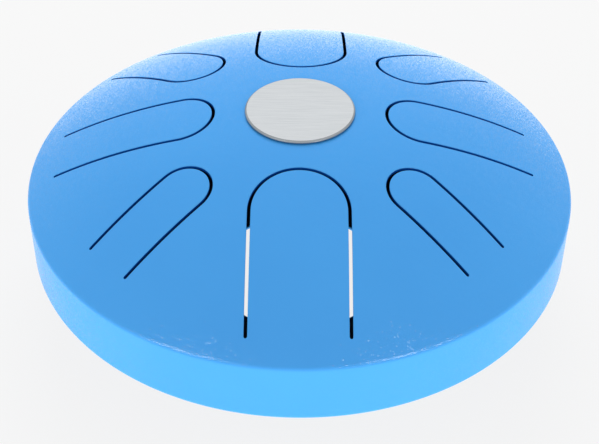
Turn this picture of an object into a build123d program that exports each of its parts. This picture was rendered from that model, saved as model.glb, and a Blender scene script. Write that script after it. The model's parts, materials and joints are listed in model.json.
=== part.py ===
"""Steel tongue drum: two pressed steel shells, eight tongues cut in the upper one, a badge and rubber feet.

Millimetres, +Z up. The origin is on the floor under the middle of the drum, and the front tongue points to -Y.
"""

import os
from math import asin, cos, degrees, radians, sin, sqrt

from build123d import *

os.makedirs("parts", exist_ok=True)

# Pressed shells
rim_radius = 127.0  # outside of the upright band
sheet = 1.5  # steel thickness
dome_radius = 234.0  # both domes are pressed to this sphere
band_height = 29.0  # between the sharp corners of the two shoulders
bend_radius = 1.0  # inside the shoulders
lap_depth = 8.0  # of the lower shell's lip inside the upper shell
lap_clearance = 0.1
sound_hole_diameter = 84.0
floor_gap = 4.5  # under the edge of the sound hole

# Tongues: widths and tips are measured to the middle of the slit
kerf = 1.5  # width of the cut slits
root_gap = 0.1  # hairline at a root, where the real sheet runs on and bends
front_width = 43.0
back_width = 43.8
side_width = 31.0
front_corner_width = 24.8
back_corner_width = 31.0
# Directions from the drum's middle, in degrees from +X towards +Y
front_angle = 270.0
front_right_angle = 317.6
right_angle = 0.9
back_right_angle = 43.7
back_angle = 89.9
back_left_angle = 136.0
left_angle = 178.9
front_left_angle = 222.3
# Distances of the tips from the drum's middle, as shares of the rim's radius
axial_tip_share = 0.312  # front, back and side tongues
front_corner_tip_share = 0.441
back_corner_tip_share = 0.4535
# The slits end at these distances inside the rim, which tunes the notes
front_root_inset = 11.8
back_root_inset = 10.6
left_root_inset = 13.8
right_root_inset = 19.9
front_left_root_inset = 16.2
front_right_root_inset = 18.8
back_left_root_inset = 8.0
back_right_root_inset = 10.0

# Badge on the crown
badge_diameter = 50.2
badge_thickness = 1.2
badge_bevel = 0.6
adhesive_thickness = 0.5
adhesive_inset = 1.0  # of the adhesive disc inside the badge's edge
seat_margin = 1.0  # of the flat seat around the badge

# Rubber feet, pushed into holes in the lower shell
foot_inset = 22.0  # from the sound hole's edge to a foot's middle
foot_diameter = 20.0  # against the shell
sole_diameter = 16.0
foot_hole_diameter = 6.0
stem_clearance = 0.1
head_overhang = 1.2  # of the stem's head past the hole's edge
head_gap = 0.2  # between the head and the shell's inside
head_height = 4.0
nose_diameter = 4.0
first_foot_angle = 45.0  # back right, in degrees from +X towards +Y
quarter_turn = 90.0  # from one foot to the next

# Places worked out from the sizes above
sound_hole_radius = sound_hole_diameter / 2
seat_radius = badge_diameter / 2 + seat_margin
shoulder_radius = bend_radius + sheet
axial_tip = axial_tip_share * rim_radius
front_corner_tip = front_corner_tip_share * rim_radius
back_corner_tip = back_corner_tip_share * rim_radius


def dome_height(radius):
    """Height of a dome's outer skin over its shoulder's sharp corner, this far from the drum's axis."""
    return sqrt(dome_radius**2 - radius**2) - sqrt(dome_radius**2 - rim_radius**2)


lower_corner_z = floor_gap + dome_height(sound_hole_radius)
upper_corner_z = lower_corner_z + band_height
seam_z = (lower_corner_z + upper_corner_z) / 2
seat_z = upper_corner_z + dome_height(seat_radius)

tongues = {
    "tongue_front": (front_angle, front_width, axial_tip, front_root_inset),
    "tongue_front_right": (front_right_angle, front_corner_width, front_corner_tip, front_right_root_inset),
    "tongue_right": (right_angle, side_width, axial_tip, right_root_inset),
    "tongue_back_right": (back_right_angle, back_corner_width, back_corner_tip, back_right_root_inset),
    "tongue_back": (back_angle, back_width, axial_tip, back_root_inset),
    "tongue_back_left": (back_left_angle, back_corner_width, back_corner_tip, back_left_root_inset),
    "tongue_left": (left_angle, side_width, axial_tip, left_root_inset),
    "tongue_front_left": (front_left_angle, front_corner_width, front_corner_tip, front_left_root_inset),
}
feet = {
    "foot_back_right": first_foot_angle,
    "foot_back_left": first_foot_angle + quarter_turn,
    "foot_front_left": first_foot_angle + 2 * quarter_turn,
    "foot_front_right": first_foot_angle + 3 * quarter_turn,
}


def plan_outline(direction, tip, width, length_end, half_width):
    """Outline seen from above: straight sides from a round tip, facing the middle, out to length_end."""
    tip_centre = tip + width / 2
    along = Vector(1, 0, 0).rotate(Axis.Z, direction)
    with BuildSketch(Plane(origin=(0, 0, 0), x_dir=along, z_dir=(0, 0, 1))) as outline:
        with Locations((tip_centre, 0)):
            Circle(half_width)
        with Locations(((tip_centre + length_end) / 2, 0)):
            Rectangle(length_end - tip_centre, 2 * half_width)
    return outline.sketch


# Upper shell's section: badge seat, dome, shoulder and the upper half of the band
with BuildSketch(Plane.XZ) as upper_section:
    with BuildLine():
        seat = Line((0, seat_z), (seat_radius, seat_z))
        dome = RadiusArc(seat @ 1, (rim_radius, upper_corner_z), dome_radius)
        wall = Line(dome @ 1, (rim_radius, seam_z))
        fillet(vertices().group_by(Axis.X)[-1].sort_by(Axis.Y)[-1], shoulder_radius)
        offset(amount=sheet, side=Side.RIGHT)
    make_face()

with BuildPart() as top_shell:
    add(upper_section.sketch)
    revolve(axis=Axis.Z)
    for direction, width, tip, root_inset in tongues.values():
        add(plan_outline(direction, tip, width, rim_radius - root_inset, (width + kerf) / 2))
        extrude(amount=seat_z + sheet, mode=Mode.SUBTRACT)
top_shell.part.label = "top_shell"
export_step(top_shell.part, "parts/top_shell.step")

# Each tongue is the same pressed sheet inside its slit
for name, (direction, width, tip, root_inset) in tongues.items():
    with BuildPart() as tongue:
        add(upper_section.sketch)
        revolve(axis=Axis.Z)
        add(plan_outline(direction, tip, width, rim_radius - root_inset - root_gap, (width - kerf) / 2))
        extrude(amount=seat_z + sheet, mode=Mode.INTERSECT)
    tongue.part.label = name
    export_step(tongue.part, f"parts/{name}.step")

# Lower shell's section: the same dome turned over, with a joggled lip that the upper shell slips over
with BuildSketch(Plane.XZ) as lower_section:
    with BuildLine():
        crown_z = lower_corner_z - dome_height(seat_radius)
        crown = Line((0, crown_z), (seat_radius, crown_z))
        dome = RadiusArc(crown @ 1, (rim_radius, lower_corner_z), -dome_radius)
        lip_radius = rim_radius - sheet - lap_clearance
        Polyline(dome @ 1, (rim_radius, seam_z), (lip_radius, seam_z), (lip_radius, seam_z + lap_depth))
        fillet(vertices().group_by(Axis.X)[-1].sort_by(Axis.Y)[0], shoulder_radius)
        offset(amount=sheet, side=Side.LEFT)
    make_face()

# A foot's axis stands square to the lower dome
foot_circle_radius = sound_hole_radius + foot_inset
foot_tilt = degrees(asin(foot_circle_radius / dome_radius))
foot_skin_z = lower_corner_z - dome_height(foot_circle_radius)
foot_planes = {}
for name, direction in feet.items():
    outward = Vector(1, 0, 0).rotate(Axis.Z, direction)
    skin_point = outward * foot_circle_radius + Vector(0, 0, foot_skin_z)
    normal = outward * sin(radians(foot_tilt)) - Vector(0, 0, cos(radians(foot_tilt)))
    foot_planes[name] = Plane(origin=skin_point, x_dir=outward.cross(normal), z_dir=normal)

with BuildPart() as bottom_shell:
    add(lower_section.sketch)
    revolve(axis=Axis.Z)
    Hole(sound_hole_radius)
    with Locations(*foot_planes.values()):
        Cylinder(foot_hole_diameter / 2, 4 * sheet, mode=Mode.SUBTRACT)
bottom_shell.part.label = "bottom_shell"
export_step(bottom_shell.part, "parts/bottom_shell.step")

# Rubber feet: a barbed stem through the shell, and a tapered block whose sole is flat on the floor
stem_radius = foot_hole_diameter / 2 - stem_clearance
head_radius = foot_hole_diameter / 2 + head_overhang
head_base = -sheet - head_gap
sole_radius = sole_diameter / 2
foot_length = (foot_skin_z + sole_radius * sin(radians(foot_tilt))) / cos(radians(foot_tilt))
for name, plane in foot_planes.items():
    section_plane = Plane(origin=plane.origin, x_dir=plane.x_dir, z_dir=plane.x_dir.cross(plane.z_dir))
    with BuildPart() as foot:
        with BuildSketch(section_plane):
            with BuildLine():
                Polyline(
                    (0, head_base - head_height),
                    (nose_diameter / 2, head_base - head_height),
                    (head_radius, head_base),
                    (stem_radius, head_base),
                    (stem_radius, 0),
                    (foot_diameter / 2, 0),
                    (sole_radius, foot_length),
                    (0, foot_length),
                    close=True,
                )
            make_face()
        revolve(axis=Axis(plane.origin, plane.z_dir))
        split(bisect_by=Plane.XY, keep=Keep.TOP)
    foot.part.label = name
    export_step(foot.part, f"parts/{name}.step")

# Badge and the adhesive disc under it
with BuildPart() as badge_adhesive:
    with BuildSketch(Plane.XY.offset(seat_z)):
        Circle(badge_diameter / 2 - adhesive_inset)
    extrude(amount=adhesive_thickness)
badge_adhesive.part.label = "badge_adhesive"
export_step(badge_adhesive.part, "parts/badge_adhesive.step")

with BuildPart() as badge:
    with BuildSketch(Plane.XY.offset(seat_z + adhesive_thickness)):
        Circle(badge_diameter / 2)
    extrude(amount=badge_thickness)
    chamfer(badge.edges().group_by(Axis.Z)[-1], badge_bevel)
badge.part.label = "badge"
export_step(badge.part, "parts/badge.step")
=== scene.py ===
"""Looks of a steel tongue drum: powder-coated shells with cut tongues, a brushed badge and rubber feet.

Metres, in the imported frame: +Z up, the floor at z = 0, the front tongue towards -Y.
"""
import json
from math import acos, atan2, cos, hypot, pi, radians, sin, sqrt

import bmesh
import bpy
import numpy as np
from mathutils import Matrix, Vector
from mathutils.geometry import delaunay_2d_cdt


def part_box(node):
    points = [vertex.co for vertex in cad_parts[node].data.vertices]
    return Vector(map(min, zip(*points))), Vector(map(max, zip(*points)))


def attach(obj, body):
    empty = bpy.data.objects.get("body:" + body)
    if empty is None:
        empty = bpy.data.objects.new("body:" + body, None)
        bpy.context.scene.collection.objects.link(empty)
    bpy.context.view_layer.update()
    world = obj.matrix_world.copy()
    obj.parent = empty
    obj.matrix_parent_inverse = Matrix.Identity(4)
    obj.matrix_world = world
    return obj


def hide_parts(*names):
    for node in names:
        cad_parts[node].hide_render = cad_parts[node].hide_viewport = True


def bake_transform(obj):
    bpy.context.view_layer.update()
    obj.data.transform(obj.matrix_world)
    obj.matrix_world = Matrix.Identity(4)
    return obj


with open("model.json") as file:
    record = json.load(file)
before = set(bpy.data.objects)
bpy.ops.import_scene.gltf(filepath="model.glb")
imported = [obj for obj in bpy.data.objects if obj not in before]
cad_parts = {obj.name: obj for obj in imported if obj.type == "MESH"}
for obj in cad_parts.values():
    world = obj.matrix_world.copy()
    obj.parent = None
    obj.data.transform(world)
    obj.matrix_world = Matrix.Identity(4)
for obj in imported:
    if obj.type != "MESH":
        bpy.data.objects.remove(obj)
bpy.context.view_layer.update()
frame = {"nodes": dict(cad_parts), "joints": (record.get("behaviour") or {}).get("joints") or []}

# Sizes of the pieces, as the solids have them
SHEET = 0.0015
DOME_RADIUS = 0.234
SHOULDER_RADIUS = 0.0025
KERF = 0.0015
LAP_CLEARANCE = 0.0001
SEAT_MARGIN = 0.001
BADGE_BEVEL = 0.0006
FOOT_CIRCLE = 0.064
FOOT_RADIUS = 0.010
SOLE_RADIUS = 0.008
FOOT_HOLE_RADIUS = 0.003
STEM_RADIUS = 0.0029
HEAD_RADIUS = 0.0042
HEAD_HEIGHT = 0.004
HEAD_GAP = 0.0002
NOSE_RADIUS = 0.002

# Finish of edges
CUT_EDGE = 0.00025  # rounding that the coat gives a cut edge
SUPPORT = 0.0004  # narrow flat strip beside a rounded edge
RUBBER_EDGE = 0.0009  # rounding of a foot's sole
BADGE_EDGE = 0.00015  # rounding of the badge's edges
BADGE_BORDER = 0.0006  # between the bevel and the one large face of the badge's top

# Fineness of the meshes: faces around each round shape, and distances between points
TURN_STEPS = 288  # around the drum
SEAT_STEPS = 96
BADGE_STEPS = 180
FOOT_STEPS = 48
SHOULDER_STEPS = 8
SLIT_END_STEPS = 8
ROUND_STEPS = 4  # around a rounded cut edge
SOLE_STEPS = 6  # around the rounded edge of a sole
PLAN_INSET = 0.005  # from the rim to the triangulated part of a dome
POINT_SPACING = 0.004  # inside a dome
LINE_CLEARANCE = 0.6 * POINT_SPACING  # between such points and the lines that a dome keeps
LINE_SPACING = 0.0016  # along a slit
SMOOTH_ANGLE = 38.0  # sharper edges than this, in degrees, show as edges
STEPS_IN_METRE = 1e7  # corners that fall on the same step are one

# Powder coat: fine pebbles, each with its own lean
PEBBLES = 2600.0  # in a metre
PEBBLE_LEAN = 0.37

# Light; turns are in degrees from the front, rises in degrees over the floor
BACKGROUND = 0.93  # white of the surroundings, as the camera and reflections see them
FLOOR_REACH = 6.0
FLOOR_WHITE_SHARE = 0.92  # the rest of the floor shows the drum's shadow
FLOOR_GLOW = 1.65  # light that the floor, a lit table, gives the drum from below
WORLD_LEVEL = 0.50
LAMP_DISTANCE = 1.2
LAMP_WIDTH = 0.8
SOFTBOX_TURN = 42.0
SOFTBOX_RISE = 35.0
SOFTBOX_DEPTH = 0.6
SOFTBOX_POWER = 1.8
PANEL_TURN = 180.0
PANEL_RISE = 48.0
PANEL_DEPTH = 0.8
PANEL_POWER = 10.0
# Small lamps that show only in reflections, where they glint on the pebbles of the shoulder
GLINT_PLACE = 21.0  # turn of the place on the shoulder that such a lamp is aimed at
GLINT_TURN = 43.0
GLINT_RISE = 35.0
GLINT_DISTANCE = 0.15
GLINT_SIZE = 0.065
GLINT_SPREAD = 50.0
GLINT_POWER = 0.020
# Lit table behind the drum, which shows only in reflections, along the far edge of the dome
TABLE_START = 0.2
TABLE_SIZE = 0.5
TABLE_LIFT = 0.002  # over the floor
FACING_UP = -90.0  # rise of a lamp that shines straight up
TABLE_POWER = 0.63

# Camera, as the picture shows the drum
CAMERA_PLACE = Vector((0.0001, -0.4998, 0.4603))
CAMERA_PITCH = 40.24
CAMERA_ROLL = 0.42
FOCAL_PIXELS = 1345.0
IMAGE_WIDTH = 599.0
SENSOR_WIDTH = 36.0  # in millimetres, as the lens is
NEAR_LIMIT = 0.01

# Places read from the frame
top_low, top_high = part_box("top_shell")
bottom_low, bottom_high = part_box("bottom_shell")
badge_low, badge_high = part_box("badge")
RIM = top_high.x
SEAT_Z = top_high.z
SEAM_Z = top_low.z
LIP_Z = bottom_high.z
BADGE_RADIUS = badge_high.x
SEAT_RADIUS = BADGE_RADIUS + SEAT_MARGIN
CORNER_RISE = sqrt(DOME_RADIUS**2 - RIM**2)  # from a dome's sphere centre to its shoulder's sharp corner
SPHERE_Z = SEAT_Z - sqrt(DOME_RADIUS**2 - SEAT_RADIUS**2)
UPPER_CORNER = SPHERE_Z + CORNER_RISE
LOWER_CORNER = 2 * SEAM_Z - UPPER_CORNER
LOWER_SPHERE_Z = LOWER_CORNER + CORNER_RISE
HOLE_RADIUS = sqrt(DOME_RADIUS**2 - (LOWER_SPHERE_Z - bottom_low.z) ** 2)
HOLE_START = HOLE_RADIUS + CUT_EDGE + SUPPORT  # where the dome ends and the sound hole's rounded edge starts
# The domes are triangulated in plan inside this circle, and turned profiles go on from it
PLAN_RADIUS = RIM - PLAN_INSET

materials = {}


def turn_outwards(mesh):
    """Gives a closed mesh faces that all look outwards."""
    surface = bmesh.new()
    surface.from_mesh(mesh)
    bmesh.ops.recalc_face_normals(surface, faces=surface.faces)
    surface.to_mesh(mesh)
    surface.free()


def new_piece(name, *groups):
    """A closed mesh object from groups of polygons given as corner points, with equal corners joined.

    Each group takes the piece's material of that number. A polygon's corners may run either way round.
    """
    index = {}
    faces = []
    kinds = []
    for kind, group in enumerate(groups):
        for polygon in group:
            face = []
            for corner in polygon:
                key = tuple(round(c * STEPS_IN_METRE) for c in corner)
                face.append(index.setdefault(key, len(index)))
            face = list(dict.fromkeys(face))
            if len(face) > 2:
                faces.append(face)
                kinds.append(kind)
    mesh = bpy.data.meshes.new(name)
    mesh.from_pydata([Vector(key) / STEPS_IN_METRE for key in index], [], faces)
    mesh.polygons.foreach_set("material_index", kinds)
    turn_outwards(mesh)
    mesh.shade_smooth()
    mesh.set_sharp_from_angle(angle=radians(SMOOTH_ANGLE))
    piece = bpy.data.objects.new(name, mesh)
    bpy.context.scene.collection.objects.link(piece)
    return piece


def arc(centre, radius, start, end, steps):
    """Points of a plane arc, angles in degrees, both ends included."""
    angles = [radians(start + (end - start) * k / steps) for k in range(steps + 1)]
    return [(centre[0] + radius * cos(a), centre[1] + radius * sin(a)) for a in angles]


def ring(radius, count):
    turns = [2 * pi * k / count for k in range(count)]
    return [(radius * cos(t), radius * sin(t)) for t in turns]


def joined(rows):
    """Quads between neighbouring closed rows of points."""
    polygons = []
    for upper, lower in zip(rows, rows[1:]):
        for k in range(len(upper)):
            n = (k + 1) % len(upper)
            polygons.append((upper[k], lower[k], lower[n], upper[n]))
    return polygons


def turned(profile, steps=TURN_STEPS):
    """Quads of a profile of (radius, height) points turned about the Z axis."""
    return joined([[(x, y, z) for x, y in ring(r, steps)] for r, z in profile])


def rounded_rows(start, end):
    """Steps of (distance from the cut, depth from the skin) around a rounded edge."""
    angles = [radians(start + (end - start) * k / ROUND_STEPS) for k in range(ROUND_STEPS + 1)]
    return [(CUT_EDGE * (1 - sin(a)), CUT_EDGE * (1 - cos(a))) for a in angles]


def triangulated(lines, holes=()):
    """Triangles of a dome's plan, which keep the given lines as edges.

    Each line is a list of points and whether it closes. No new point is put inside the circles of holes.
    """
    points = []
    edges = []
    for line, closed in lines:
        first = len(points)
        points.extend(line)
        numbers = list(range(first, len(points)))
        edges.extend(zip(numbers, numbers[1:] + numbers[:1] if closed else numbers[1:]))
    fixed = np.array(points)
    row_height = POINT_SPACING * sqrt(3) / 2
    rows = int(PLAN_RADIUS / row_height) + 1
    columns = int(PLAN_RADIUS / POINT_SPACING) + 1
    for row in range(-rows, rows + 1):
        for column in range(-columns, columns + 1):
            x = (column + (row % 2) / 2) * POINT_SPACING
            y = row * row_height
            clear = np.min(np.hypot(fixed[:, 0] - x, fixed[:, 1] - y)) > LINE_CLEARANCE
            inside = hypot(x, y) < PLAN_RADIUS and all(hypot(x - hx, y - hy) > r for hx, hy, r in holes)
            if clear and inside:
                points.append((x, y))
    millimetres = [Vector(point) * 1000 for point in points]
    tolerance = 1e-4
    _, _, faces, sources, _, _ = delaunay_2d_cdt(millimetres, edges, [], 0, tolerance)
    plan = [points[source[0]] for source in sources]
    return [[plan[k] for k in face] for face in faces]


def middle(corners):
    return sum(c[0] for c in corners) / len(corners), sum(c[1] for c in corners) / len(corners)


def upper_skin(x, y, depth=0.0):
    """Height over the plan of the upper shell's outer skin, or of a level this deep in the sheet."""
    sphere = SPHERE_Z + sqrt((DOME_RADIUS - depth) ** 2 - x * x - y * y)
    return min(sphere, SEAT_Z - depth)


def lower_skin(x, y, depth=0.0):
    return LOWER_SPHERE_Z - sqrt((DOME_RADIUS - depth) ** 2 - x * x - y * y)


class Tongue:
    """One tongue in plan: u runs outwards from the drum's middle along it, v across it."""

    def __init__(self, joint):
        self.body = joint["child"]
        self.across = Vector(joint["axis"])
        self.along = Vector((-self.across.y, self.across.x, 0))
        points = [vertex.co for vertex in frame["nodes"][self.body].data.vertices]
        self.half_width = max(abs(p.dot(self.across)) for p in points)
        tip = min(p.dot(self.along) for p in points)
        self.tip_centre = tip + self.half_width
        self.root = Vector(joint["pos_m"]).dot(self.along) - KERF / 2
        self.edge_count = len(self.edge(self.half_width))

    def plan(self, u, v):
        point = self.along * u + self.across * v
        return point.x, point.y

    def edge(self, half_width):
        """The edge from root to tip to root, for a given half width."""
        straight = self.root - self.tip_centre
        runs = round(straight / LINE_SPACING)
        turns = round(pi * self.half_width / LINE_SPACING)
        out = [(self.root - straight * k / runs, -half_width) for k in range(runs)]
        tip = arc((self.tip_centre, 0), half_width, 270, 90, turns)
        back = [(self.tip_centre + straight * (k + 1) / runs, half_width) for k in range(runs)]
        return out + tip + back

    def slit(self, grow):
        """The slit's closed edge, moved into the sheet by grow: the tongue's side first, then the shell's."""
        inner = self.edge(self.half_width - grow)
        outer = self.edge(self.half_width + KERF + grow)[::-1]
        slit_middle = self.half_width + KERF / 2
        end = arc((self.root, slit_middle), KERF / 2 + grow, -90, 90, SLIT_END_STEPS)[1:-1]
        other_end = arc((self.root, -slit_middle), KERF / 2 + grow, -90, 90, SLIT_END_STEPS)[1:-1]
        return [self.plan(u, v) for u, v in inner + end + outer + other_end]

    def root_line(self):
        """Points across the root, between the ends of the slit."""
        half = self.half_width - CUT_EDGE - SUPPORT
        steps = round(2 * half / LINE_SPACING)
        return [self.plan(self.root, -half + 2 * half * k / steps) for k in range(steps + 1)]

    def holds(self, x, y, half_width):
        """Whether a point of the plan lies inside the outline of that half width."""
        u = self.along.x * x + self.along.y * y
        v = self.across.x * x + self.across.y * y
        if u > self.root:
            return False
        if u > self.tip_centre:
            return abs(v) < half_width
        return hypot(u - self.tip_centre, v) < half_width

    def in_slit(self, x, y):
        """Whether a point lies in the slit or on its rounded edges."""
        grow = CUT_EDGE + SUPPORT
        u = self.along.x * x + self.along.y * y
        v = abs(self.across.x * x + self.across.y * y)
        if u > self.root:
            return hypot(u - self.root, v - self.half_width - KERF / 2) < KERF / 2 + grow
        outside = self.holds(x, y, self.half_width + KERF + grow)
        return outside and not self.holds(x, y, self.half_width - grow)

    def slit_rows(self):
        """Rows of points down the slit's edge: over its rounded top, down the cut and round its underside."""
        flat = CUT_EDGE + SUPPORT
        steps = [(flat, 0.0, 0.0)]
        steps += [(grow, 0.0, -drop) for grow, drop in rounded_rows(0, 90)]
        steps += [(grow, SHEET, rise) for grow, rise in rounded_rows(90, 0)]
        steps += [(flat, SHEET, 0.0)]
        rows = []
        for grow, depth, lift in steps:
            rows.append([(x, y, upper_skin(x, y, depth) + lift) for x, y in self.slit(grow)])
        return rows


tongues = [Tongue(joint) for joint in frame["joints"]]


def slit_walls(rows, first, last):
    """Quads of a slit's edge between two places on it: its rounded rim, and the cut below."""
    count = len(rows[0])
    rim = []
    cut = []
    for step, (upper, lower) in enumerate(zip(rows, rows[1:])):
        # the cut below the rim is kept apart, as it takes the painted shade of the slit walls
        group = cut if step > ROUND_STEPS else rim
        for k in range(first, last):
            n = (k + 1) % count
            group.append((upper[k], lower[k], lower[n], upper[n]))
    return rim, cut


def root_section(tongue, rows):
    """Outline of the sheet across a tongue's root, on which the tongue and the shell meet."""
    line = tongue.root_line()
    outline = [(x, y, upper_skin(x, y)) for x, y in line]
    outline += [row[tongue.edge_count - 1] for row in rows[1:-1]]
    outline += [(x, y, upper_skin(x, y, SHEET)) for x, y in line[::-1]]
    outline += [row[0] for row in rows[-2:0:-1]]
    return outline


def shoulder(depth):
    """Points of a shoulder's bend, from the dome to the band, as (radius, height over the sharp corner)."""
    radius = SHOULDER_RADIUS - depth
    centre_radius = RIM - SHOULDER_RADIUS
    centre_height = sqrt((DOME_RADIUS - SHOULDER_RADIUS) ** 2 - centre_radius**2) - CORNER_RISE
    dome_angle = acos(centre_radius / (DOME_RADIUS - SHOULDER_RADIUS))
    angles = [dome_angle * (1 - k / SHOULDER_STEPS) for k in range(SHOULDER_STEPS + 1)]
    return [(centre_radius + radius * cos(a), centre_height + radius * sin(a)) for a in angles]


def rim_profile(depth):
    """Skin from the plan's circle over the shoulder and halfway to the seam, with heights as in shoulder."""
    bend = shoulder(depth)
    bend_start = bend[0][0]
    wall, bend_end = bend[-1]
    dome_radii = (PLAN_RADIUS, (PLAN_RADIUS + bend_start) / 2, bend_start - SUPPORT)
    profile = [(r, sqrt((DOME_RADIUS - depth) ** 2 - r * r) - CORNER_RISE) for r in dome_radii]
    profile += bend
    profile += [(wall, bend_end - SUPPORT), (wall, (bend_end + SEAM_Z - UPPER_CORNER) / 2)]
    return profile


def build_upper():
    """The upper shell and its tongues: one sheet, parted only at the tongues' roots."""
    shell = []
    shell_inside = []
    shell_cuts = []
    skins = {tongue: [] for tongue in tongues}
    insides = {tongue: [] for tongue in tongues}
    lines = [(ring(PLAN_RADIUS, TURN_STEPS), True), (ring(SEAT_RADIUS, SEAT_STEPS), True)]
    lines += [(tongue.slit(CUT_EDGE + SUPPORT), True) for tongue in tongues]
    lines += [(tongue.root_line(), False) for tongue in tongues]
    for corners in triangulated(lines):
        x, y = middle(corners)
        if any(tongue.in_slit(x, y) for tongue in tongues):
            continue
        owner = next((tongue for tongue in tongues if tongue.holds(x, y, tongue.half_width)), None)
        skins.get(owner, shell).append([(x, y, upper_skin(x, y)) for x, y in corners])
        insides.get(owner, shell_inside).append([(x, y, upper_skin(x, y, SHEET)) for x, y in corners])
    outer = [(r, UPPER_CORNER + z) for r, z in rim_profile(0)]
    inner = [(r, UPPER_CORNER + z) for r, z in rim_profile(SHEET)]
    shell += turned(outer + [(RIM, SEAM_Z), (RIM - SHEET, SEAM_Z)])
    shell_inside += turned([(RIM - SHEET, SEAM_Z)] + inner[::-1])
    pieces = {}
    for tongue in tongues:
        rows = tongue.slit_rows()
        section = root_section(tongue, rows)
        rim, cut = slit_walls(rows, 0, tongue.edge_count - 1)
        inside = insides[tongue] + [section]
        # the inner skin takes the painted shade of the closed inside, the cut walls the painted shade of the
        # slits
        pieces[tongue] = new_piece(tongue.body + "_sheet", skins[tongue] + rim, inside, cut)
        rim, cut = slit_walls(rows, tongue.edge_count - 1, len(rows[0]))
        shell += rim
        shell_inside.append(section)
        shell_cuts += cut
    return new_piece("upper_shell", shell, shell_inside, shell_cuts), pieces


class Foot:
    """One foot: its axis stands square to the lower dome, and its sole is flat on the floor."""

    def __init__(self, node):
        self.node = node
        low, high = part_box(node)
        turn = atan2(low.y + high.y, low.x + high.x)
        outward = Vector((cos(turn), sin(turn), 0))
        self.skin_point = outward * FOOT_CIRCLE + Vector((0, 0, lower_skin(FOOT_CIRCLE, 0)))
        self.axis = (self.skin_point - Vector((0, 0, LOWER_SPHERE_Z))).normalized()
        self.side = outward.cross(self.axis).normalized()
        self.front = self.axis.cross(self.side)

    def in_hole(self, point):
        """Whether the middle of a triangle lies inside the foot's hole, whose edge has straight steps."""
        reach = point - self.skin_point
        distance = (reach - self.axis * reach.dot(self.axis)).length
        return distance < FOOT_HOLE_RADIUS * cos(pi / FOOT_STEPS)

    def row(self, radius, distance):
        """Points around the axis, at a distance from the skin, which is positive below it."""
        middle_point = self.skin_point + self.axis * distance
        return [middle_point + self.side * x + self.front * y for x, y in ring(radius, FOOT_STEPS)]

    def skin_row(self, radius, depth=0.0):
        """Points around the axis on the lower dome's skin, or on a level inside the sheet."""
        sphere = DOME_RADIUS - depth
        return self.row(radius, sqrt(sphere**2 - radius**2) - DOME_RADIUS)

    def build(self):
        """Barbed stem through the shell, and a tapered rubber block."""
        sink = SOLE_RADIUS * self.axis.xy.length  # of the middle, until the whole sole is on the floor
        length = (self.skin_point.z + sink) / -self.axis.z
        head_base = -SHEET - HEAD_GAP
        rows = [self.row(NOSE_RADIUS, head_base - HEAD_HEIGHT), self.row(HEAD_RADIUS, head_base - SUPPORT)]
        rows += [self.row(HEAD_RADIUS, head_base), self.row(STEM_RADIUS, head_base)]
        rows += [self.skin_row(STEM_RADIUS), self.skin_row(FOOT_RADIUS - SUPPORT), self.skin_row(FOOT_RADIUS)]
        top = rows[-1]
        base = self.row(SOLE_RADIUS, length)
        corner = [a.lerp(b, a.z / (a.z - b.z)) for a, b in zip(top, base)]
        up = [(a - c).normalized() * RUBBER_EDGE for a, c in zip(top, corner)]
        sole_middle = sum(corner, Vector()) / len(corner)
        across = [(sole_middle - c).normalized() * RUBBER_EDGE for c in corner]
        for step in range(SOLE_STEPS + 1):
            a = pi / 2 * step / SOLE_STEPS
            rows.append([c + u * (1 - sin(a)) + w * (1 - cos(a)) for c, u, w in zip(corner, up, across)])
        rows.append([c + 2 * w for c, w in zip(corner, across)])
        for point in rows[-1]:
            point.z = 0.0
        return new_piece(self.node + "_rubber", joined(rows) + [rows[0], rows[-1]])


feet = [Foot(node) for node in frame["nodes"] if node.startswith("foot_")]


def lower_level(depth):
    """Triangles of the lower dome's skin, or of a level inside the sheet, around its holes."""
    loops = [foot.skin_row(FOOT_HOLE_RADIUS, depth) for foot in feet]
    lines = [(ring(PLAN_RADIUS, TURN_STEPS), True), (ring(HOLE_START, TURN_STEPS), True)]
    lines += [([(p.x, p.y) for p in loop], True) for loop in loops]
    holes = [(*middle(loop), FOOT_HOLE_RADIUS) for loop in loops]
    polygons = []
    for corners in triangulated(lines, [*holes, (0, 0, HOLE_START)]):
        x, y = middle(corners)
        point = Vector((x, y, lower_skin(x, y, depth)))
        if hypot(x, y) > HOLE_START and not any(foot.in_hole(point) for foot in feet):
            polygons.append([(x, y, lower_skin(x, y, depth)) for x, y in corners])
    return polygons


def foot_hole_wall(foot):
    """Quads between the two edges of a foot's hole."""
    rows = []
    for depth in (0.0, SHEET):
        loop = foot.skin_row(FOOT_HOLE_RADIUS, depth)
        rows.append([(p.x, p.y, lower_skin(p.x, p.y, depth)) for p in loop])
    return joined(rows)


def build_lower():
    """The lower shell: the same dome turned over, its holes, and the lip that goes inside the seam."""
    shell = lower_level(0.0)
    shell_inside = lower_level(SHEET)
    for foot in feet:
        shell += foot_hole_wall(foot)
    hole = [(HOLE_START, lower_skin(HOLE_START, 0, SHEET))]
    hole += [(HOLE_RADIUS + r, lower_skin(HOLE_RADIUS + r, 0, SHEET) - z) for r, z in rounded_rows(0, 90)]
    hole += [(HOLE_RADIUS + r, lower_skin(HOLE_RADIUS + r, 0) + z) for r, z in rounded_rows(90, 0)]
    hole += [(HOLE_START, lower_skin(HOLE_START, 0))]
    outer = [(r, LOWER_CORNER - z) for r, z in rim_profile(0)]
    inner = [(r, LOWER_CORNER - z) for r, z in rim_profile(SHEET)]
    lip = RIM - SHEET - LAP_CLEARANCE
    step = [(RIM, SEAM_Z), (lip, SEAM_Z)]
    lip_inside = [(lip, SEAM_Z), (lip, LIP_Z), (lip - SHEET, LIP_Z)]
    lip_inside += [(lip - SHEET, SEAM_Z - SHEET), (RIM - SHEET, SEAM_Z - SHEET)]
    shell += turned(hole) + turned(outer + step)
    shell_inside += turned(lip_inside + inner[::-1])
    return new_piece("lower_shell", shell, shell_inside)


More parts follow.
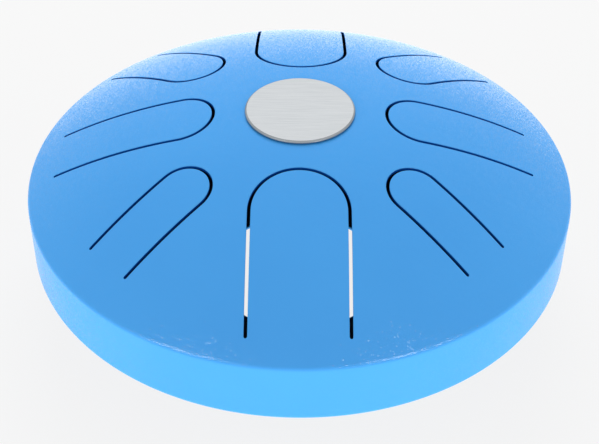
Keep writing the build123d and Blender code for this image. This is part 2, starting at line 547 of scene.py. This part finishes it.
def build_badge():
    """Flat disc with a bevelled, slightly rounded rim."""
    low, high = badge_low.z, badge_high.z
    bevel_base = high - BADGE_BEVEL
    flat = BADGE_RADIUS - BADGE_BEVEL
    side = [(BADGE_RADIUS - BADGE_EDGE, low), (BADGE_RADIUS, low + BADGE_EDGE)]
    side += [(BADGE_RADIUS, bevel_base - BADGE_EDGE), (BADGE_RADIUS - BADGE_EDGE, bevel_base + BADGE_EDGE)]
    side += [(flat + BADGE_EDGE, high - BADGE_EDGE), (flat - BADGE_EDGE, high)]
    border = [(flat - BADGE_EDGE, high), (flat - BADGE_BORDER, high)]
    under = [(x, y, low) for x, y in ring(BADGE_RADIUS - BADGE_EDGE, BADGE_STEPS)]
    top = [(x, y, high) for x, y in ring(flat - BADGE_BORDER, BADGE_STEPS)]
    disc = turned(border, BADGE_STEPS) + [top]
    # the bevel, side and underside take the darker steel, a painted shade for the bevel's darker reflection
    rim = turned(side, BADGE_STEPS) + [under]
    return new_piece("badge_disc", disc, rim)


def material(name):
    made = bpy.data.materials.new(name)
    made.use_nodes = True
    materials[name] = made
    return made.node_tree, made.node_tree.nodes["Principled BSDF"]


def feed(tree, socket, value):
    """Links another node's output to a socket, or sets the socket's own value."""
    if isinstance(value, bpy.types.NodeSocket):
        tree.links.new(value, socket)
    else:
        socket.default_value = value


def add_node(tree, kind, **inputs):
    """A shader node with its inputs fed; an underscore stands for a space in an input's name."""
    node = tree.nodes.new(kind)
    for name, value in inputs.items():
        feed(tree, node.inputs[name.replace("_", " ")], value)
    return node


def maths(tree, operation, *inputs, kind="ShaderNodeMath"):
    """Output of a maths node with its inputs fed in order."""
    node = tree.nodes.new(kind)
    node.operation = operation
    for socket, value in zip(node.inputs, inputs):
        feed(tree, socket, value)
    return node.outputs[0]


def between(tree, shader_input, noise, low, high):
    """Feeds a shader's colour or number, which runs from low to high where most of a noise's values lie."""
    start, end = 0.3, 0.7
    if isinstance(low, tuple):
        ramp = add_node(tree, "ShaderNodeValToRGB", Fac=noise)
        for element, place, colour in zip(ramp.color_ramp.elements, (start, end), (low, high)):
            element.position = place
            element.color = (*colour, 1)
        tree.links.new(ramp.outputs["Color"], shader_input)
    else:
        spread = add_node(tree, "ShaderNodeMapRange", Value=noise, To_Min=low, To_Max=high)
        spread.inputs["From Min"].default_value = start
        spread.inputs["From Max"].default_value = end
        tree.links.new(spread.outputs["Result"], shader_input)


def powder_coat(name, low, high):
    """Powder coat: an almost even colour under a clear skin of fine pebbles."""
    tree, shader = material(name)
    place = tree.nodes.new("ShaderNodeTexCoord").outputs["Object"]
    cloud = add_node(tree, "ShaderNodeTexNoise", Vector=place, Scale=16.0, Detail=3.0).outputs["Fac"]
    between(tree, shader.inputs["Base Color"], cloud, low, high)
    swell = add_node(tree, "ShaderNodeTexNoise", Vector=place, Scale=220.0, Detail=1.0).outputs["Fac"]
    wave = add_node(tree, "ShaderNodeBump", Strength=1.0, Distance=0.00004, Height=swell).outputs["Normal"]
    tree.links.new(wave, shader.inputs["Normal"])
    pebbles = add_node(tree, "ShaderNodeTexVoronoi", Vector=place, Scale=PEBBLES).outputs["Color"]
    vectors = "ShaderNodeVectorMath"
    side = maths(tree, "SUBTRACT", pebbles, (0.5, 0.5, 0.5), kind=vectors)
    leaning = maths(tree, "MULTIPLY_ADD", side, (PEBBLE_LEAN, PEBBLE_LEAN, PEBBLE_LEAN), wave, kind=vectors)
    tree.links.new(maths(tree, "NORMALIZE", leaning, kind=vectors), shader.inputs["Coat Normal"])
    shader.inputs["Roughness"].default_value = 0.4
    shader.inputs["Specular IOR Level"].default_value = 0.0
    shader.inputs["Coat Weight"].default_value = 0.7
    shader.inputs["Coat Roughness"].default_value = 0.1
    shader.inputs["Coat IOR"].default_value = 1.4


def brushed_steel(name, grain_scale, low, high):
    """Stainless steel with straight brush marks, long in the direction where grain_scale is small."""
    tree, shader = material(name)
    place = tree.nodes.new("ShaderNodeTexCoord").outputs["Object"]
    stretch = add_node(tree, "ShaderNodeMapping", Vector=place, Scale=grain_scale).outputs["Vector"]
    noise = add_node(tree, "ShaderNodeTexNoise", Vector=stretch, Scale=1.0, Detail=4.0, Roughness=0.7)
    lines = noise.outputs["Fac"]
    between(tree, shader.inputs["Base Color"], lines, low, high)
    between(tree, shader.inputs["Roughness"], lines, 0.28, 0.42)
    scratch = add_node(tree, "ShaderNodeBump", Strength=0.3, Distance=0.00004, Height=lines)
    tree.links.new(scratch.outputs["Normal"], shader.inputs["Normal"])
    shader.inputs["Metallic"].default_value = 1.0


def matt(name, low, high, gloss, grain_scale):
    """Matt rubber or foam with a fine grain; also the dark matt surfaces that stand for painted shade inside
    the drum and in its slits.
    """
    tree, shader = material(name)
    place = tree.nodes.new("ShaderNodeTexCoord").outputs["Object"]
    grain = add_node(tree, "ShaderNodeTexNoise", Vector=place, Scale=grain_scale, Detail=3.0).outputs["Fac"]
    between(tree, shader.inputs["Base Color"], grain, low, high)
    bump = add_node(tree, "ShaderNodeBump", Strength=0.4, Distance=0.0001, Height=grain)
    tree.links.new(bump.outputs["Normal"], shader.inputs["Normal"])
    shader.inputs["Roughness"].default_value = 0.75
    shader.inputs["Specular IOR Level"].default_value = gloss


powder_coat("powder_coat", (0.053, 0.325, 0.77), (0.057, 0.340, 0.79))
brushed_steel("badge_steel", (60.0, 5200.0, 60.0), (0.60, 0.635, 0.66), (0.80, 0.825, 0.845))
# Bevel and side of the badge: darker steel than the face, painted shade standing in for the bevel's darker
# reflection
brushed_steel("badge_rim_painted_shade", (60.0, 60.0, 5200.0), (0.26, 0.29, 0.31), (0.40, 0.43, 0.45))
# Inside of the shells and tongues: near-black coat, painted shade of the closed chamber
matt("inside_painted_shade", (0.004, 0.011, 0.034), (0.007, 0.016, 0.048), 0.1, 900.0)
# Slit walls: the same blue coat painted dark navy, as painted shade deep in the narrow slits
matt("slit_wall_painted_shade", (0.0005, 0.066, 0.34), (0.0015, 0.080, 0.40), 0.0, 900.0)
matt("foot_rubber", (0.014, 0.014, 0.016), (0.028, 0.028, 0.030), 0.4, 1800.0)
matt("adhesive", (0.020, 0.020, 0.024), (0.040, 0.040, 0.044), 0.2, 2500.0)


def dress(piece, *names):
    for name in names:
        piece.data.materials.append(materials[name])


def carry(piece, node):
    """A piece that stands for a solid fixed to the drum."""
    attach(piece, "drum")
    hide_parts(node)


upper_shell, tongue_pieces = build_upper()
dress(upper_shell, "powder_coat", "inside_painted_shade", "slit_wall_painted_shade")
carry(upper_shell, "top_shell")

lower_shell = build_lower()
dress(lower_shell, "powder_coat", "inside_painted_shade")
carry(lower_shell, "bottom_shell")

badge_disc = build_badge()
dress(badge_disc, "badge_steel", "badge_rim_painted_shade")
carry(badge_disc, "badge")

for foot in feet:
    rubber = foot.build()
    dress(rubber, "foot_rubber")
    carry(rubber, foot.node)

for tongue, piece in tongue_pieces.items():
    dress(piece, "powder_coat", "inside_painted_shade", "slit_wall_painted_shade")
    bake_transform(piece)
    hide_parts(tongue.body)

for material_slot in frame["nodes"]["badge_adhesive"].material_slots:
    material_slot.material = materials["adhesive"]


def whitened(tree, shader_output, share):
    """Mixes plain white into a shader for what the camera, reflections and clear materials see of it."""
    path = tree.nodes.new("ShaderNodeLightPath").outputs
    seen = path["Is Camera Ray"]
    for ray in ("Is Glossy Ray", "Is Transmission Ray"):
        seen = maths(tree, "MAXIMUM", seen, path[ray])
    part = maths(tree, "MULTIPLY", seen, share)
    white = add_node(tree, "ShaderNodeEmission", Color=(BACKGROUND, BACKGROUND, BACKGROUND, 1))
    mix = tree.nodes.new("ShaderNodeMixShader")
    tree.links.new(part, mix.inputs[0])
    tree.links.new(shader_output, mix.inputs[1])
    tree.links.new(white.outputs[0], mix.inputs[2])
    return mix.outputs[0]


def add_lamp(name, target, turn, rise, distance, width, depth, power):
    """A rectangular lamp aimed at a point, this far from it."""
    lamp = bpy.data.lights.new(name, "AREA")
    lamp.shape = "RECTANGLE"
    lamp.size = width
    lamp.size_y = depth
    lamp.energy = power
    box = bpy.data.objects.new(name, lamp)
    level = Vector((sin(radians(turn)), -cos(radians(turn)), 0))
    away = level * cos(radians(rise)) + Vector((0, 0, sin(radians(rise))))
    aim = away.to_track_quat("Z", "Y").to_matrix().to_4x4()
    box.matrix_world = Matrix.Translation(target + away * distance) @ aim
    bpy.context.scene.collection.objects.link(box)
    return box


def build_floor():
    """Pale floor that shows the drum's shadow and lights the drum from below."""
    mesh = bpy.data.meshes.new("floor")
    reach = FLOOR_REACH
    corners = [(-reach, -reach, 0), (reach, -reach, 0), (reach, reach, 0), (-reach, reach, 0)]
    mesh.from_pydata(corners, [], [(0, 1, 2, 3)])
    floor = bpy.data.objects.new("floor", mesh)
    bpy.context.scene.collection.objects.link(floor)
    tree, shader = material("floor_white")
    shader.inputs["Base Color"].default_value = (0.88, 0.88, 0.88, 1)
    shader.inputs["Roughness"].default_value = 0.9
    path = tree.nodes.new("ShaderNodeLightPath").outputs
    level = maths(tree, "MULTIPLY", maths(tree, "COMPARE", path["Diffuse Depth"], 1.0), FLOOR_GLOW)
    glow = add_node(tree, "ShaderNodeEmission", Color=(1, 1, 1, 1), Strength=level)
    both = tree.nodes.new("ShaderNodeAddShader")
    tree.links.new(whitened(tree, shader.outputs[0], FLOOR_WHITE_SHARE), both.inputs[0])
    tree.links.new(glow.outputs[0], both.inputs[1])
    tree.links.new(both.outputs[0], tree.nodes["Material Output"].inputs["Surface"])
    materials["floor_white"].cycles.emission_sampling = "NONE"
    mesh.materials.append(materials["floor_white"])


def build_world():
    """Even light from all round, seen as white."""
    world = bpy.data.worlds.new("studio")
    bpy.context.scene.world = world
    world.use_nodes = True
    tree = world.node_tree
    sky = tree.nodes["Background"]
    sky.inputs["Color"].default_value = (1, 1, 1, 1)
    sky.inputs["Strength"].default_value = WORLD_LEVEL
    surface = whitened(tree, sky.outputs[0], 1.0)
    tree.links.new(surface, tree.nodes["World Output"].inputs["Surface"])


def build_lamps():
    """Two soft lamps at the front, a panel over the back, glints on the shoulder and the lit table behind."""
    drum_foot = Vector((0, 0, 0))
    for name, turn, rise, depth, power in (
        ("softbox_left", -SOFTBOX_TURN, SOFTBOX_RISE, SOFTBOX_DEPTH, SOFTBOX_POWER),
        ("softbox_right", SOFTBOX_TURN, SOFTBOX_RISE, SOFTBOX_DEPTH, SOFTBOX_POWER),
        ("panel", PANEL_TURN, PANEL_RISE, PANEL_DEPTH, PANEL_POWER),
    ):
        soft_lamp = add_lamp(name, drum_foot, turn, rise, LAMP_DISTANCE, LAMP_WIDTH, depth, power)
        soft_lamp.visible_glossy = False
    for name, side in (("glint_left", -1), ("glint_right", 1)):
        place = radians(side * GLINT_PLACE)
        target = Vector((RIM * sin(place), -RIM * cos(place), UPPER_CORNER))
        turn = side * GLINT_TURN
        glint = add_lamp(name, target, turn, GLINT_RISE, GLINT_DISTANCE, GLINT_SIZE, GLINT_SIZE, GLINT_POWER)
        glint.data.spread = radians(GLINT_SPREAD)
        glint.visible_diffuse = False
        glint.visible_camera = False
    above = Vector((0, TABLE_START + TABLE_SIZE / 2, 2 * TABLE_LIFT))
    table = add_lamp("table_behind", above, 0, FACING_UP, TABLE_LIFT, TABLE_SIZE, TABLE_SIZE, TABLE_POWER)
    table.visible_diffuse = False
    table.visible_camera = False


def build_camera():
    lens = bpy.data.cameras.new("camera")
    lens.sensor_fit = "HORIZONTAL"
    lens.sensor_width = SENSOR_WIDTH
    lens.lens = FOCAL_PIXELS / IMAGE_WIDTH * SENSOR_WIDTH
    lens.clip_start = NEAR_LIMIT
    camera = bpy.data.objects.new("camera", lens)
    tilt = Matrix.Rotation(radians(90 - CAMERA_PITCH), 4, "X")
    roll = Matrix.Rotation(radians(CAMERA_ROLL), 4, "Z")
    camera.matrix_world = Matrix.Translation(CAMERA_PLACE) @ tilt @ roll
    bpy.context.scene.collection.objects.link(camera)
    bpy.context.scene.camera = camera


build_floor()
build_world()
build_lamps()
build_camera()
bpy.context.scene.view_settings.view_transform = "Standard"
